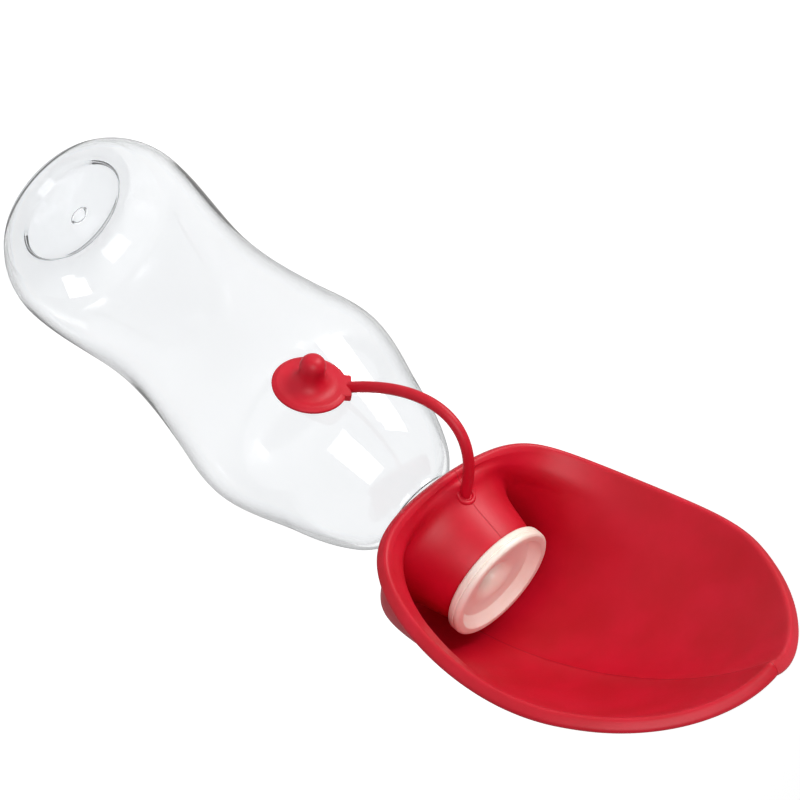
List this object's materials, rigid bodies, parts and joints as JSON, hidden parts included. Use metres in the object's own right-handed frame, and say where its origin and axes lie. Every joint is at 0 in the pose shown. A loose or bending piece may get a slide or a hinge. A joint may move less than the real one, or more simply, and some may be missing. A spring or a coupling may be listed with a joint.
{
  "type": "dog travel water bottle",
  "caption": "Squeeze water bottle with a soft leaf-shaped drinking bowl round its pouring lip and a strap with a stopper.",
  "frame": {"origin": "centre of the ring that the bottle stands on", "axes": "+Z along the bottle's axis, up to the neck; +X is the side that the bowl opens to; +Y completes the right-handed frame, on the side where the stopper is parked"},
  "size_m": [0.0912, 0.1032, 0.3006],
  "materials": {
    "clear_plastic": "clear blown plastic, glossy",
    "seal_rubber": "soft, matt",
    "cream_plastic": "cream, satin",
    "red_silicone": "red silicone, soft satin"
  },
  "bodies": {
    "bottle": {"bottle": "clear_plastic"},
    "seal": {"neck_seal": "seal_rubber"},
    "head": {"pour_nozzle": "cream_plastic", "leaf_bowl": "red_silicone", "strap_foot": "red_silicone"},
    "strap_1": {"strap_link_1": "red_silicone"},
    "strap_2": {"strap_link_2": "red_silicone"},
    "strap_3": {"strap_link_3": "red_silicone"},
    "strap_4": {"strap_link_4": "red_silicone"},
    "strap_end": {"strap_tip": "red_silicone"},
    "plug": {"stopper": "red_silicone"}
  },
  "joints": [
    {"name": "thread_rise", "type": "slide", "parent": "bottle", "child": "seal", "axis": [0, 0, 1], "range_m": [0, 0.00601]},
    {"name": "head_turn", "type": "hinge", "parent": "seal", "child": "head", "pos_m": [0, 0, 0.19], "axis": [0, 0, 1], "range_deg": [0, 540]},
    {"name": "strap_bend_1", "type": "hinge", "parent": "head", "child": "strap_1", "pos_m": [0.03515, -0.00001, 0.18948], "axis": [0.0904, -0.9943, 0.0557], "range_deg": [0, 58.77], "stiffness_Nm_per_rad": 0.002},
    {"name": "strap_bend_2", "type": "hinge", "parent": "strap_1", "child": "strap_2", "pos_m": [0.04178, 0.00007, 0.18624], "axis": [0.0924, -0.9957, 0.0091], "range_deg": [0, 70.36], "stiffness_Nm_per_rad": 0.002},
    {"name": "strap_bend_3", "type": "hinge", "parent": "strap_2", "child": "strap_3", "pos_m": [0.04589, 0.00039, 0.18132], "axis": [0.0757, -0.996, -0.0482], "range_deg": [0, 65.73], "stiffness_Nm_per_rad": 0.002},
    {"name": "strap_bend_4", "type": "hinge", "parent": "strap_3", "child": "strap_4", "pos_m": [0.04754, 0.00109, 0.17493], "axis": [-0.0023, -0.9965, -0.083], "range_deg": [0, 49.98], "stiffness_Nm_per_rad": 0.002},
    {"name": "strap_bend_5", "type": "hinge", "parent": "strap_4", "child": "strap_end", "pos_m": [0.04676, 0.00231, 0.16725], "axis": [-0.3189, -0.9443, 0.0809], "range_deg": [0, 27.55], "stiffness_Nm_per_rad": 0.002},
    {"name": "plug_press", "type": "slide", "parent": "strap_end", "child": "plug", "axis": [1, 0, 0], "range_m": [0, 0.0095]}
  ],
  "couplings": [
    {"joint": "thread_rise", "follows": "head_turn", "m_per_rad": 0.00063662}
  ]
}
